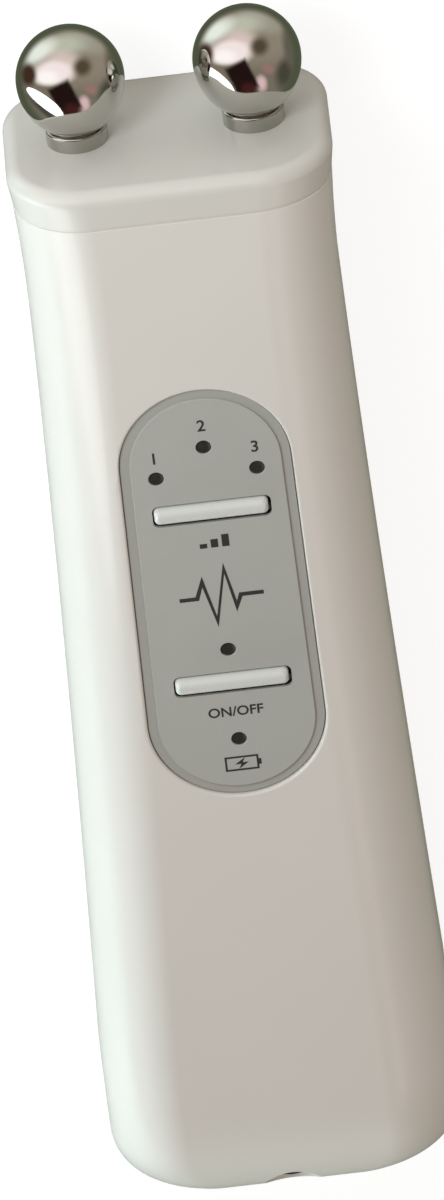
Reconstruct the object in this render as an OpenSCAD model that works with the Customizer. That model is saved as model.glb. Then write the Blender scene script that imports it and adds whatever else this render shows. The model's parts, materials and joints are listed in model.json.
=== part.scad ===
// Hand-held facial toning device with two ball electrodes, lying on its back.
// X runs across the body, +Y towards the head, +Z out of the control face.
// The origin is under the middle of the outline, on the surface that the back rests on.

/* [Body] */
// Length of the body, from the tip of the foot to the parting line of the head cap
body_len = 163; // [155:1:170]
// Thickness of the body, back to front
body_t = 31.5; // [30:0.5:33]
// Half width at the waist, below the head
waist_half = 20.9; // [20:0.1:23]
// Half width of the foot, before its corners round off
foot_half = 24.4; // [24:0.1:27]
// Distance of the waist from the tip of the foot
waist_s = 149; // [140:1:152]
// Radius of the long front edges
front_r = 10.5; // [8:0.5:11]
// Radius of the long back edges
back_r = 8.5; // [6:0.5:9]
// Wall thickness of the shells
wall = 2.2; // [1.8:0.1:2.6]
// Height at which the front and rear shells meet
split_z = 14; // [13:0.5:14.5]

/* [Foot rounding] */
// Length of the rounding between the control face and the foot
foot_front_len = 22; // [18:1:26]
// Length of the rounding between the back and the foot
foot_back_len = 12; // [10:1:16]
// Length of the rounding of the foot's corners, seen from the front
foot_side_len = 14; // [12:1:18]
// Width that each corner of the foot takes, seen from the front
foot_side_w = 12.4; // [10:0.1:14]
// Height of the narrow band at the tip of the foot
tip_t = 1; // [0.8:0.1:2]
// Height of the tip of the foot above the back
tip_z = 12.5; // [11:0.5:13]

/* [Head cap] */
// Height of the head cap above the parting line
cap_h = 5.5; // [5:0.1:6.5]
// Half width of the head cap
cap_half = 21.8; // [21:0.1:22.5]
// Width of the parting gap under the cap
cap_gap = 0.3; // [0.2:0.05:0.5]
// Radius of the cap's rim
cap_rim_r = 2; // [1:0.1:2.2]

/* [Electrodes] */
// Diameter of each ball
ball_d = 14.5; // [13.5:0.1:15]
// Height of each ball's centre above the head face
ball_h = 9.25; // [9:0.05:10.5]
// Half length of the ball's lower half, which is drawn out towards its collar
ball_low_len = 8.1; // [7.6:0.1:8.4]
// Distance from the centre line to each ball
ball_x = 11.8; // [11:0.1:13]
// Diameter of the collar under each ball
collar_d = 8.3; // [7.5:0.1:9]
// Height of the collar
collar_h = 2.2; // [1.8:0.1:2.4]
// Height of the narrow neck between the ball and its collar
neck_h = 0.35; // [0.2:0.05:0.5]
// Diameter of the neck
neck_d = 6.8; // [5.4:0.1:7.2]

/* [Control panel] */
// Distance from the parting line to the panel's head end
panel_top = 26.1; // [25:0.1:28]
// Distance from the parting line to the panel's foot end
panel_foot = 90.2; // [88:0.1:92]
// Half width of the panel at its head end
panel_top_r = 11.6; // [11:0.1:12]
// Half width of the panel at its foot end
panel_foot_r = 12.1; // [11.5:0.1:12.5]
// Depth of the panel frame's border below the control face
border_depth = 0.6; // [0.4:0.05:0.7]
// Width of the frame's border round the overlay
border_w = 1.4; // [0.7:0.1:1.6]
// Depth of the overlay below the control face
overlay_depth = 0.2; // [0.1:0.05:0.35]

/* [Buttons and lights] */
// Distance from the parting line to the level button
level_s = 44.9; // [44:0.1:46.5]
// Distance from the parting line to the power button
power_s = 72; // [71:0.1:73.5]
// Length of each button
button_len = 15.4; // [14:0.1:16]
// Width of each button
button_w = 2.5; // [2:0.1:3]
// Height of each button above the control face
button_rise = 0.8; // [0.3:0.05:1]
// Travel of each button
button_travel = 0.5; // [0.3:0.05:0.6]
// Distance from the parting line to the outer level lights
light_outer_s = 39.1; // [38.5:0.1:39.5]
// Distance from the parting line to the middle level light
light_middle_s = 35; // [34.5:0.1:36]
// Distance from the centre line to the outer level lights
light_x = 6.8; // [6:0.1:7]
// Distance from the parting line to the power light
power_light_s = 67; // [66.5:0.1:67.3]
// Distance from the parting line to the charge light
charge_light_s = 81.3; // [80:0.1:82]
// Diameter of each light window
light_d = 2; // [1.6:0.1:2.4]

/* [Charging socket] */
// Diameter of the hole in the foot
socket_d = 8; // [7:0.1:8.4]
// Height of the socket's axis above the back
socket_z = 22.8; // [22:0.1:23]
// Bore of the socket
socket_bore_d = 5.6; // [5.5:0.1:5.8]
// Diameter of the socket's centre pin
socket_pin_d = 2; // [1.9:0.05:2.1]

/* [Hidden] */
$fn = 64;
over = 1;          // overshoot of a cut past the face that it leaves

// Places along the body: s counts from the tip of the foot, y from the middle of the outline.
ball_s = body_len + cap_h + ball_h;
overall_len = ball_s + ball_d / 2;
function y_of(s) = s - overall_len / 2;
function from_parting(d) = body_len - d;
head_s = body_len + cap_h;

// ---- outer form -------------------------------------------------------------------------------
// Drop of a quarter ellipse of length len and height h, at distance s from the tip.
function quarter_drop(s, len, h) = s >= len ? 0 : h * (1 - sqrt(1 - pow(1 - s / len, 2)));
// Half width along the body: narrow at the waist, wider to the foot, a little wider to the head.
flare_power = 1.4;
flare_full = 120;   // distance below the waist at which the half width reaches foot_half
function side_half(s) = s < waist_s
    ? waist_half + (foot_half - waist_half) * pow(min(waist_s - s, flare_full) / flare_full, flare_power)
    : waist_half + (cap_half - waist_half) * pow((s - waist_s) / (head_s - waist_s), 2);
function half_w(s) = side_half(s) - quarter_drop(s, foot_side_len, foot_side_w);
function front_z(s) = body_t - quarter_drop(s, foot_front_len, body_t - tip_z - tip_t / 2);
function back_z(s) = quarter_drop(s, foot_back_len, tip_z - tip_t / 2);
front_share = 0.55; // most of the height of a section that its front corners may take
back_share = 0.43;  // and its back corners

// One corner of a section: n + 1 points round centre (cx, cz), from angle a0 over 90 degrees.
function corner(cx, cz, r, a0, n) =
    [for (i = [0:n]) let (a = a0 + 90 * i / n) [cx + r * cos(a), cz + r * sin(a)]];
// The section at s, made smaller by inset all round, as points [x, z].
function section(s, inset, n) =
    let (w = half_w(s) - inset, hi = front_z(s) - inset, lo = back_z(s) + inset, t = hi - lo,
         rf = max(0.05, min(front_r - inset, t * front_share, w * 0.9)),
         rb = max(0.05, min(back_r - inset, t * back_share, w * 0.9)))
    concat(corner(w - rf, hi - rf, rf, 0, n), corner(rf - w, hi - rf, rf, 90, n),
           corner(rb - w, lo + rb, rb, 180, n), corner(w - rb, lo + rb, rb, 270, n));
// Closed solid through rings with the same number of points, counter-clockwise as seen from the start.
module skin(rings) {
    n = len(rings[0]);
    last = len(rings) - 1;
    polyhedron(
        points = [for (ring = rings) each ring],
        faces = concat(
            [[for (i = [n - 1:-1:0]) i]],
            [[for (i = [0:n - 1]) last * n + i]],
            [for (k = [0:last - 1], i = [0:n - 1]) let (a = k * n, b = a + n, j = (i + 1) % n)
                each [[a + i, b + j, b + i], [a + i, a + j, b + j]]]),
        convexity = 6);
}
function place_ring(pts, s) = [for (p = pts) [p[0], y_of(s), p[1]]];

arc_n = 8;          // facets of each corner of a section
foot_n = 13;        // rings in the rounding of the foot
shaft_step = 12;    // distance between rings above it
foot_stations = [for (i = [0:foot_n]) foot_front_len * (1 - cos(90 * i / foot_n))];
shaft_stations = [for (s = [foot_front_len + shaft_step:shaft_step:body_len - 2]) s];
module outer_form() {
    skin([for (s = concat(foot_stations, shaft_stations, [body_len])) place_ring(section(s, 0, arc_n), s)]);
}
// The cavity lags behind the outer form by cavity_lag, so that the foot's wall keeps its thickness.
cavity_lag = 1.6;
cavity_start = 5;
module cavity() {
    stations = concat([cavity_start], [for (s = foot_stations) if (s > cavity_start + 1) s], shaft_stations,
                      [body_len + over]);
    skin([for (s = stations) place_ring(section(s - cavity_lag, wall, arc_n), s)]);
}

// ---- helpers ----------------------------------------------------------------------------------
// Stadium that widens towards the foot, lying in XY, with r0 at s0 and r1 at s1; thickness h up from z.
slot_n = 24;        // facets of each round end
module tapered_slot(s0, r0, s1, r1, z, h) {
    lean = asin((r1 - r0) / (s0 - s1));
    head_end = [for (i = [0:slot_n]) let (a = lean + (180 - 2 * lean) * i / slot_n)
        [r0 * cos(a), y_of(s0) + r0 * sin(a)]];
    foot_end = [for (i = [0:slot_n]) let (a = 180 - lean + (180 + 2 * lean) * i / slot_n)
        [r1 * cos(a), y_of(s1) + r1 * sin(a)]];
    translate([0, 0, z]) linear_extrude(h) polygon(concat(head_end, foot_end));
}
// Bar along X with corners of radius r: length len and width w, its middle at (x, s), from z up by h.
module bar(x, s, len, w, r, z, h) {
    translate([x, y_of(s), z]) {
        translate([r - len / 2, -w / 2, 0]) cube([len - 2 * r, w, h]);
        translate([-len / 2, r - w / 2, 0]) cube([len, w - 2 * r, h]);
        for (i = [-1, 1], j = [-1, 1])
            translate([i * (len / 2 - r), j * (w / 2 - r), 0]) cylinder(h = h, r = r);
    }
}
module post(x, s, z, h, r) translate([x, y_of(s), z]) cylinder(h = h, r = r);
module block(x, s, z, size) translate([x - size[0] / 2, y_of(s) - size[1] / 2, z]) cube(size);
// Cylinder along +Y from s, on the line (x, z).
module barrel(x, z, s, len, r) translate([x, y_of(s), z]) rotate([-90, 0, 0]) cylinder(h = len, r = r);
// Insulated wire on one smooth curve through points given as [x, s, z].
wire_spans = 4;     // rings between two points of the route
wire_sides = 8;
function spline(a, b, c, d, u) = 0.5 * (2 * b + (c - a) * u + (2 * a - 5 * b + 4 * c - d) * u * u
    + (3 * b - a - 3 * c + d) * u * u * u);
function smooth(p) = let (n = len(p)) concat(
    [for (i = [0:n - 2], k = [0:wire_spans - 1])
        spline(i == 0 ? 2 * p[0] - p[1] : p[i - 1], p[i], p[i + 1],
               i == n - 2 ? 2 * p[n - 1] - p[n - 2] : p[i + 2], k / wire_spans)], [p[n - 1]]);
function unit(v) = v / norm(v);
module wire(points, r = 0.6) {
    path = smooth([for (p = points) [p[0], y_of(p[1]), p[2]]]);
    last = len(path) - 1;
    skin([for (i = [0:last])
        let (along = unit(path[min(i + 1, last)] - path[max(i - 1, 0)]), u = unit(cross([0.1, 0, 1], along)),
             v = cross(along, u))
        [for (k = [0:wire_sides - 1]) let (a = 360 * k / wire_sides)
            path[i] - r * cos(a) * u + r * sin(a) * v]]);
}

// ---- levels and shared places -----------------------------------------------------------------
pocket_floor = body_t - 1.5;            // floor of the panel's pocket
pad_z = body_t - 3;                     // underside of the pad that carries the panel
pad_margin = 1.6;
panel_s0 = from_parting(panel_top) - panel_top_r;
panel_s1 = from_parting(panel_foot) + panel_foot_r;
button_gap = 0.2;                       // gap round a button on its head side and its left
button_foot_gap = 0.6;                  // wider gap below it
button_right_gap = 0.4;
button_corner_r = 0.7;
button_flange = 1.6;                    // how far a button's flange reaches under the pad
flange_h = 0.8;
button_travel_clear = 0.3;              // gap between the flange and the pad at rest
plunger_top = 25.8;
board_z = 21.5;                         // face of the board that carries the switches and lights
board_t = 1.6;
board_half = 17;
board_s0 = 63;
board_s1 = 143;
led_h = 4;
window_hole = light_d / 2 + 0.05;
windows = [[-light_x, from_parting(light_outer_s)], [0, from_parting(light_middle_s)],
           [light_x, from_parting(light_outer_s)], [0, from_parting(power_light_s)],
           [0, from_parting(charge_light_s)]];
shell_screw_places = [[17, 30], [-17, 30], [14.5, 150], [-14.5, 150]];
board_screw_places = [[14, 67], [-14, 67], [14, 139], [-14, 139]];
shell_boss_r = 3.2;
shell_screw_r = 1.2;
screw_head_z = 9;                       // seat of a shell screw's head, above the back
pilot_top = 23;
board_boss_r = 2.6;
board_screw_r = 0.9;
cell_r = 5.25;
cell_len = 44.5;
cell_x = 5.6;
cell_z = 9;
cell_s = 20;
socket_face_s = 7;
socket_len = 14;
socket_bore_len = 10;
socket_boss_s = 16;                     // inner end of the boss that holds the socket
stud_r = 2;
stud_s = 157.5;                         // inner end of each electrode's stud
stud_reach = 4;                         // how far it reaches into the ball
electrode_z = body_t / 2;
cap_ceiling = head_s - 2.3;
carrier_t = 2.6;
lip_s = 160;
lip_clear = 0.25;
lip_t = 1.15;
pole_sign = [-1, 1];

function button_s(level) = from_parting(level ? level_s : power_s);

// ---- shells -----------------------------------------------------------------------------------
module button_slot(level, z, h) {
    bar((button_right_gap - button_gap) / 2, button_s(level) - (button_foot_gap - button_gap) / 2,
        button_len + button_gap + button_right_gap, button_w + button_gap + button_foot_gap,
        button_corner_r + button_gap, z, h);
}
// A shell: the outer form between two heights, less the part of the cavity that its inner pieces leave free.
module shell_part(low, high) {
    difference() {
        intersection() {
            outer_form();
            translate([-foot_half - over, y_of(-over), low])
                cube([2 * (foot_half + over), body_len + over, high - low]);
        }
        difference() {
            cavity();
            children();
        }
    }
}
module front_shell() {
    color("ivory") difference() {
        shell_part(split_z, body_t + over) {
            // pad that carries the panel
            tapered_slot(panel_s0, panel_top_r + pad_margin, panel_s1, panel_foot_r + pad_margin,
                         pad_z, body_t);
            // boss round the charging socket
            barrel(0, socket_z, -over, socket_boss_s + over, socket_d / 2 + 2);
            for (p = shell_screw_places) post(p[0], p[1], split_z, body_t, shell_boss_r);
            for (p = board_screw_places) post(p[0], p[1], board_z, body_t, board_boss_r);
        }
        tapered_slot(panel_s0, panel_top_r, panel_s1, panel_foot_r, pocket_floor, body_t);
        for (level = [true, false]) button_slot(level, pad_z - over, body_t);
        for (p = windows) post(p[0], p[1], pad_z - over, body_t, window_hole);
        for (p = shell_screw_places)
            post(p[0], p[1], split_z - over, pilot_top - split_z + over, shell_screw_r);
        for (p = board_screw_places) post(p[0], p[1], board_z - over, 6 + over, board_screw_r);
        barrel(0, socket_z, -over, socket_boss_s + 2 * over, socket_d / 2);
    }
}
cradle_places = [24, 40, 60];
module rear_shell() {
    color("ivory") difference() {
        shell_part(-over, split_z) {
            for (p = shell_screw_places) post(p[0], p[1], 0, body_t, shell_boss_r);
            // cradles that hold the two cells
            for (s = cradle_places) block(0, s, 0, [4 * cell_r + 4, 2, cell_z]);
        }
        for (p = shell_screw_places) {
            post(p[0], p[1], -over, split_z + 2 * over, shell_screw_r + 0.2);
            post(p[0], p[1], -over, screw_head_z + over, 2.6);
        }
        for (side = pole_sign)
            barrel(side * cell_x, cell_z, cell_s - over, cell_len + 2 * over, cell_r + 0.05);
    }
}
// Rings of the cap: straight up from the parting line, then round the rim to the face.
rim_n = 5;
module head_cap() {
    skirt = place_ring(section(body_len, 0, arc_n), body_len + cap_gap);
    rim = [for (i = [0:rim_n]) let (a = 90 * i / rim_n, s = head_s - cap_rim_r * (1 - sin(a)))
        place_ring(section(head_s, cap_rim_r * (1 - cos(a)), arc_n), s)];
    color("ivory") difference() {
        union() {
            skin(concat([skirt], rim));
            // lip that plugs into the shells
            skin([for (s = [lip_s, body_len + cap_gap + 0.5])
                place_ring(section(body_len, wall + lip_clear, arc_n), s)]);
        }
        skin([for (s = [lip_s - over, cap_ceiling])
            place_ring(section(body_len, wall + lip_clear + lip_t, arc_n), s)]);
        for (side = pole_sign)
            barrel(side * ball_x, electrode_z, cap_ceiling - over, 2 * cap_h, stud_r + 0.1);
    }
}

// ---- electrodes -------------------------------------------------------------------------------
egg_n = 14;         // cones that make up the lower half of a ball
module electrode_ball(side) {
    low = ball_h - collar_h - neck_h;   // how far the ball reaches below its centre
    end = asin(low / ball_low_len);
    outline = [for (i = [0:egg_n]) let (a = end * i / egg_n) [ball_d / 2 * cos(a), -ball_low_len * sin(a)]];
    color("silver") difference() {
        union() {
            translate([side * ball_x, y_of(ball_s), electrode_z]) {
                sphere(d = ball_d);
                rotate([-90, 0, 0]) rotate_extrude() polygon(concat([[0, -low], [0, 0]], outline));
            }
            barrel(side * ball_x, electrode_z, head_s + collar_h, neck_h + 1, neck_d / 2);
        }
        barrel(side * ball_x, electrode_z, head_s + collar_h - over, stud_reach + over, stud_r);
    }
}
module electrode_collar(side) {
    color("silver") difference() {
        barrel(side * ball_x, electrode_z, head_s, collar_h, collar_d / 2);
        barrel(side * ball_x, electrode_z, head_s - over, collar_h + 2 * over, stud_r);
    }
}
module electrode_stud(side) {
    color("gray") barrel(side * ball_x, electrode_z, stud_s, head_s + collar_h + stud_reach - stud_s, stud_r);
}
carrier_s = cap_ceiling - carrier_t;
terminal_t = 0.8;
nut_t = 3.2;
module electrode_carrier() {
    color("dimgray") difference() {
        block(0, cap_ceiling - carrier_t / 2, electrode_z - 8, [31, carrier_t, 16]);
        for (side = pole_sign)
            barrel(side * ball_x, electrode_z, carrier_s - over, carrier_t + 2 * over, stud_r);
    }
}
module electrode_terminals() {
    color("goldenrod") for (side = pole_sign) difference() {
        union() {
            barrel(side * ball_x, electrode_z, carrier_s - terminal_t, terminal_t, 3.6);
            block(side * ball_x, carrier_s - terminal_t / 2, electrode_z + 2, [2.4, terminal_t, 5]);
        }
        barrel(side * ball_x, electrode_z, carrier_s - terminal_t - over, terminal_t + 2 * over, stud_r);
    }
}
module electrode_nuts() {
    color("silver") for (side = pole_sign) difference() {
        translate([side * ball_x, y_of(carrier_s - terminal_t - nut_t), electrode_z]) rotate([-90, 0, 0])
            cylinder(h = nut_t, d = 8.08, $fn = 6);
        barrel(side * ball_x, electrode_z, carrier_s - terminal_t - nut_t - over, nut_t + 2 * over, stud_r);
    }
}
module electrode_lead(side) {
    color(side < 0 ? "white" : "gold") wire([
        [side * ball_x, carrier_s - terminal_t - 0.65, electrode_z + 6.2],
        [side * ball_x * 0.8, 154, electrode_z + 7.5],
        [side * 8, 148, board_z + 1.6],
        [side * 6, board_s1 - 2, board_z + 0.65]]);
}

// ---- control panel ----------------------------------------------------------------------------
module panel_openings(z, h) {
    for (level = [true, false]) button_slot(level, z, h);
    for (p = windows) post(p[0], p[1], z, h, window_hole);
}
module panel_frame() {
    fit = 0.1;
    top = body_t - border_depth;
    color("darkgray") difference() {
        tapered_slot(panel_s0, panel_top_r - fit, panel_s1, panel_foot_r - fit,
                     pocket_floor, top - pocket_floor);
        panel_openings(pocket_floor - over, 4);
    }
}
module panel_overlay() {
    low = body_t - border_depth;
    color("lightgray") difference() {
        tapered_slot(panel_s0, panel_top_r - border_w, panel_s1, panel_foot_r - border_w, low,
                     border_depth - overlay_depth);
        panel_openings(low - over, 4);
    }
}
module button(level) {
    s = button_s(level);
    r = button_w / 2;
    axis_z = body_t + button_rise - r;
    low = pad_z - button_travel_clear - flange_h;
    color("gainsboro") {
        bar(0, s, button_len, button_w, button_corner_r, low + flange_h, axis_z - low - flange_h);
        // half round top
        intersection() {
            bar(0, s, button_len, button_w, button_corner_r, axis_z, r);
            translate([-button_len / 2 - over, y_of(s), axis_z]) rotate([0, 90, 0])
                cylinder(h = button_len + 2 * over, r = r);
        }
        bar(0, s, button_len + 2 * button_flange, button_w + 2 * button_flange, button_corner_r,
            low, flange_h);
        post(0, s, plunger_top, low - plunger_top, 1.5);
    }
}
module light_window(i) {
    p = windows[i];
    top = body_t - overlay_depth - 0.1;
    color([0.15, 0.15, 0.15]) {
        post(p[0], p[1], board_z + led_h + 0.3, top - board_z - led_h - 0.3, light_d / 2);
        post(p[0], p[1], pad_z - 1.2, 1.2, light_d / 2 + 0.5);
    }
}

// ---- board ------------------------------------------------------------------------------------
switch_w = 6;
switch_h = 3.5;
plunger_r = 1.75;
module circuit_board() {
    color("seagreen") difference() {
        block(0, (board_s0 + board_s1) / 2, board_z - board_t,
              [2 * board_half, board_s1 - board_s0, board_t]);
        for (p = board_screw_places) post(p[0], p[1], board_z - board_t - over, board_t + 2 * over, 1.1);
    }
}
module switch_base(level) {
    color("dimgray") difference() {
        block(0, button_s(level), board_z, [switch_w, switch_w, switch_h]);
        post(0, button_s(level), board_z + 1.6, switch_h, plunger_r + 0.05);
    }
}
module plunger(level) {
    low = board_z + 1.6 + button_travel + 0.2;
    color("black") post(0, button_s(level), low, plunger_top - low, plunger_r);
}
module light(i) {
    p = windows[i];
    color("palegreen") post(p[0], p[1], board_z, led_h, 1.45);
}
chip_s = 105;
module microcontroller() {
    color("black") block(0, chip_s, board_z + 0.15, [7.5, 10.3, 2.2]);
    color("silver") for (side = pole_sign, k = [0:7])
        block(side * 4.6, chip_s - 4.45 + 1.27 * k, board_z, [1.7, 0.4, 0.25]);
}
transformer_s = 121;
transformer_h = 10;
module transformer_core() {
    color("dimgray") difference() {
        block(0, transformer_s, board_z - board_t - transformer_h, [14, 6, transformer_h]);
        block(0, transformer_s, board_z - board_t - transformer_h + 2, [10, 8, transformer_h - 4]);
    }
}
module transformer_winding() {
    color("peru") block(0, transformer_s, board_z - board_t - transformer_h + 2.1,
                        [9.8, 11, transformer_h - 4.2]);
}
module charge_controller() {
    color("black") block(-3, 81, board_z - board_t - 1.6, [4, 5, 1.6]);
}
module smoothing_capacitor() {
    color("midnightblue") post(9, 101, board_z - board_t - 11, 11, 3.15);
}
module filter_inductor() {
    color("black") post(-9, 101, board_z - board_t - 5, 5, 4);
}
module small_parts() {
    color("sienna") {
        for (k = [0:4], side = pole_sign) block(side * 12, 87 + 5 * k, board_z, [2, 1.25, 0.6]);
        for (k = [0:3]) block(-6 + 4 * k, 134, board_z, [1.25, 2, 0.6]);
    }
}

// ---- cells ------------------------------------------------------------------------------------
cell_nub = 1;
module cell(side) {
    // the two cells lie head to tail, so their positive ends face opposite ways
    color(side < 0 ? "seagreen" : "steelblue") {
        barrel(side * cell_x, cell_z, cell_s + (side < 0 ? cell_nub : 0), cell_len - cell_nub, cell_r);
        barrel(side * cell_x, cell_z, side < 0 ? cell_s : cell_s + cell_len - cell_nub, cell_nub, 1.9);
    }
}
tab_t = 0.3;
module cell_strap() {
    color("silver") block(0, cell_s - tab_t / 2, cell_z - 2, [2 * cell_x + 4, tab_t, 4]);
}
module cell_tabs() {
    color("silver") for (side = pole_sign)
        block(side * cell_x, cell_s + cell_len + tab_t / 2, cell_z - 2, [4, tab_t, 6]);
}
module cell_lead(side) {
    color(side > 0 ? "red" : "black") wire([
        [side * cell_x, cell_s + cell_len + tab_t + 0.65, cell_z + 3],
        [side * (cell_x + 1.5), cell_s + cell_len + 4, cell_z + 5],
        [side * 9, 76, board_z - board_t - 0.65]]);
}
module cell_pads() {
    color("dimgray") for (s = [32, 50]) block(0, s, wall, [20, 6, cell_z - cell_r - wall]);
}

// ---- charging socket --------------------------------------------------------------------------
socket_pin_root_r = 1.5;
module socket_body() {
    color("black") difference() {
        union() {
            barrel(0, socket_z, socket_face_s, socket_len, socket_d / 2 - 0.05);
            barrel(0, socket_z, socket_boss_s, 1.5, socket_d / 2 + 1.2);
        }
        barrel(0, socket_z, socket_face_s - over, socket_bore_len + over, socket_bore_d / 2);
        barrel(0, socket_z, socket_face_s, socket_len + over, socket_pin_root_r);
    }
}
module socket_pin() {
    color("gold") {
        barrel(0, socket_z, socket_face_s + 1, socket_bore_len, socket_pin_d / 2);
        barrel(0, socket_z, socket_face_s + socket_bore_len, socket_len - socket_bore_len + 1.5,
               socket_pin_root_r);
    }
}
tag_z = [-2.9, 2.9];
module socket_tags() {
    color("silver") for (dz = tag_z)
        block(0, socket_face_s + socket_len + 1.5, socket_z + dz - 0.2, [2, 3, 0.4]);
}
module socket_leads() {
    color("gray") for (k = [0, 1]) wire([
        [0, socket_face_s + socket_len + 2.4, socket_z + tag_z[k] + (k == 0 ? -0.9 : 0.9)],
        [(k - 0.5) * 8, 28, socket_z + (k == 0 ? -4.6 : 4.4)],
        [(k - 0.5) * 16, 48, board_z + 2],
        [(k - 0.5) * 12, board_s0 + 3, board_z + 0.65]]);
}

// ---- fasteners --------------------------------------------------------------------------------
module shell_screws() {
    color("silver") for (p = shell_screw_places) difference() {
        union() {
            post(p[0], p[1], screw_head_z - 1.8, 1.8, 2.3);
            post(p[0], p[1], screw_head_z - 0.2, 12, shell_screw_r);
        }
        for (turn = [0, 90]) translate([p[0], y_of(p[1]), screw_head_z - 1.8]) rotate(turn)
            cube([2.6, 0.6, 1.6], center = true);
    }
}
module board_screws() {
    color("silver") for (p = board_screw_places) {
        post(p[0], p[1], board_z - board_t - 1.3, 1.3, 1.9);
        post(p[0], p[1], board_z - board_t - 0.2, 6, board_screw_r);
    }
}

front_shell();
rear_shell();
head_cap();
electrode_carrier();
electrode_ball(-1);  // electrode_ball_left
electrode_ball(1);  // electrode_ball_right
electrode_collar(-1);  // electrode_collar_left
electrode_collar(1);  // electrode_collar_right
electrode_stud(-1);  // electrode_stud_left
electrode_stud(1);  // electrode_stud_right
electrode_nuts();
electrode_terminals();
electrode_lead(-1);  // electrode_lead_left
electrode_lead(1);  // electrode_lead_right
panel_frame();
panel_overlay();
button(true);  // level_button
button(false);  // power_button
plunger(true);  // level_plunger
plunger(false);  // power_plunger
switch_base(true);  // level_switch
switch_base(false);  // power_switch
light_window(0);  // low_window
light_window(1);  // middle_window
light_window(2);  // high_window
light_window(3);  // power_window
light_window(4);  // charge_window
light(0);  // low_light
light(1);  // middle_light
light(2);  // high_light
light(3);  // power_light
light(4);  // charge_light
circuit_board();
microcontroller();
transformer_core();
transformer_winding();
charge_controller();
smoothing_capacitor();
filter_inductor();
small_parts();
cell(-1);  // cell_left
cell(1);  // cell_right
cell_strap();
cell_tabs();
cell_lead(1);  // cell_lead_positive
cell_lead(-1);  // cell_lead_negative
cell_pads();
socket_body();
socket_pin();
socket_tags();
socket_leads();
shell_screws();
board_screws();
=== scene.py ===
"""Hand-held facial toning device with two ball electrodes, lying on its back on a pale floor.

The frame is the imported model's: X runs across the body, +Y towards the head, +Z out of the control face.
Shapes are worked out in millimetres, where s counts along the body from the tip of the foot.
"""
import json
import math

import bmesh
import bpy
from mathutils import Matrix, Vector


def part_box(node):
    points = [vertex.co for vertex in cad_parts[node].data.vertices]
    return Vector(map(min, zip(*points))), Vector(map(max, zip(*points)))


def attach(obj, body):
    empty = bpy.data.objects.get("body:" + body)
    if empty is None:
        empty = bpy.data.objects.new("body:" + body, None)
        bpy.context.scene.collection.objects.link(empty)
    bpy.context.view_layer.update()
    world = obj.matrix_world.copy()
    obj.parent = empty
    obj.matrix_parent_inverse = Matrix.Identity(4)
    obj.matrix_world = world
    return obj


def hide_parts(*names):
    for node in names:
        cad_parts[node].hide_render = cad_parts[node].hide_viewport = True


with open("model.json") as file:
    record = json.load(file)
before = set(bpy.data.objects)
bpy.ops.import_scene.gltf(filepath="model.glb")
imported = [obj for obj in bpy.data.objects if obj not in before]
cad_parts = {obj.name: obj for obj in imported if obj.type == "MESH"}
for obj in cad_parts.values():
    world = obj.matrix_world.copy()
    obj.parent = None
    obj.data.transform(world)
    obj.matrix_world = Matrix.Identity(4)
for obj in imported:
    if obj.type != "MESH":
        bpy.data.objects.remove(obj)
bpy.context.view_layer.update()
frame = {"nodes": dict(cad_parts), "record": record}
MM = 0.001


# ---- sizes ---------------------------------------------------------------------------------------
def box_mm(node):
    """Lowest and highest corner of a CAD node, in millimetres."""
    low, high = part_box(node)
    return low / MM, high / MM


TIP_Y = box_mm("rear_shell")[0].y
BODY_T = box_mm("front_shell")[1].z
BODY_LEN = box_mm("front_shell")[1].y - TIP_Y
HEAD_S = box_mm("head_cap")[1].y - TIP_Y
SPLIT_Z = box_mm("front_shell")[0].z
CAP_HALF = box_mm("head_cap")[1].x

# the law of the outer form, as in the CAD source
WAIST_HALF = 20.9       # half width at the waist
FOOT_HALF = 24.4        # half width of the foot, before its corners round off
WAIST_S = 149           # distance of the waist from the tip of the foot
FRONT_R = 10.5          # radius of the long front edges
BACK_R = 8.5            # radius of the long back edges
WALL = 2.2              # wall thickness of the shells
FOOT_FRONT_LEN = 22     # length of the foot's rounding towards the control face
FOOT_BACK_LEN = 12      # length of the foot's rounding towards the back
FOOT_SIDE_LEN = 14      # length of the rounding of the foot's corners
FOOT_SIDE_W = 12.4      # width that each corner of the foot takes
TIP_T = 1               # height of the narrow band at the tip of the foot
TIP_Z = 12.5            # height of the tip of the foot above the back
FLARE_POWER = 1.4       # how slowly the sides begin to flare below the waist
FLARE_FULL = 120        # distance from the waist at which the flare is full
FRONT_SHARE = 0.55      # most of the height at s that a front edge's radius takes
BACK_SHARE = 0.43       # most of the height at s that a back edge's radius takes
CAP_RIM_R = 2           # radius of the cap's rim
SIDE_SHARE = 0.9        # most of the half width that a long edge's radius takes
LEAST_R = 0.05          # least radius of a long edge

# control panel
PANEL_LOW, PANEL_HIGH = box_mm("panel_frame")
PANEL_FIT = 0.1         # gap between the panel frame and its pocket
PANEL_TOP_R = 11.6      # half width of the pocket at its head end
PANEL_FOOT_R = PANEL_HIGH.x + PANEL_FIT
PANEL_S0 = PANEL_HIGH.y + PANEL_FIT - TIP_Y - PANEL_TOP_R
PANEL_S1 = PANEL_LOW.y - PANEL_FIT - TIP_Y + PANEL_FOOT_R
POCKET_FLOOR = PANEL_LOW.z
FRAME_TOP = PANEL_HIGH.z
OVERLAY_TOP = box_mm("panel_overlay")[1].z
BORDER_W = 1.4          # width of the border round the overlay
PAD_Z = BODY_T - 3      # underside of the pad, the thick part of the shell under the panel
PAD_MARGIN = 1.6        # how far the pad goes past the pocket
BUTTON_LEN = 15.4
BUTTON_W = 2.5
BUTTON_CORNER_R = 0.7
BUTTON_GAP = 0.2        # gap beside a button, on its left and towards the head
BUTTON_RIGHT_GAP = 0.4  # gap on its right
BUTTON_FOOT_GAP = 0.6   # gap towards the foot
FLANGE = 1.6            # how far the flange that keeps a button in goes past it
FLANGE_H = 0.8          # thickness of that flange
FLANGE_GAP = 0.3        # gap between it and the pad
LIGHT_R = 1.0           # radius of a light window
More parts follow.
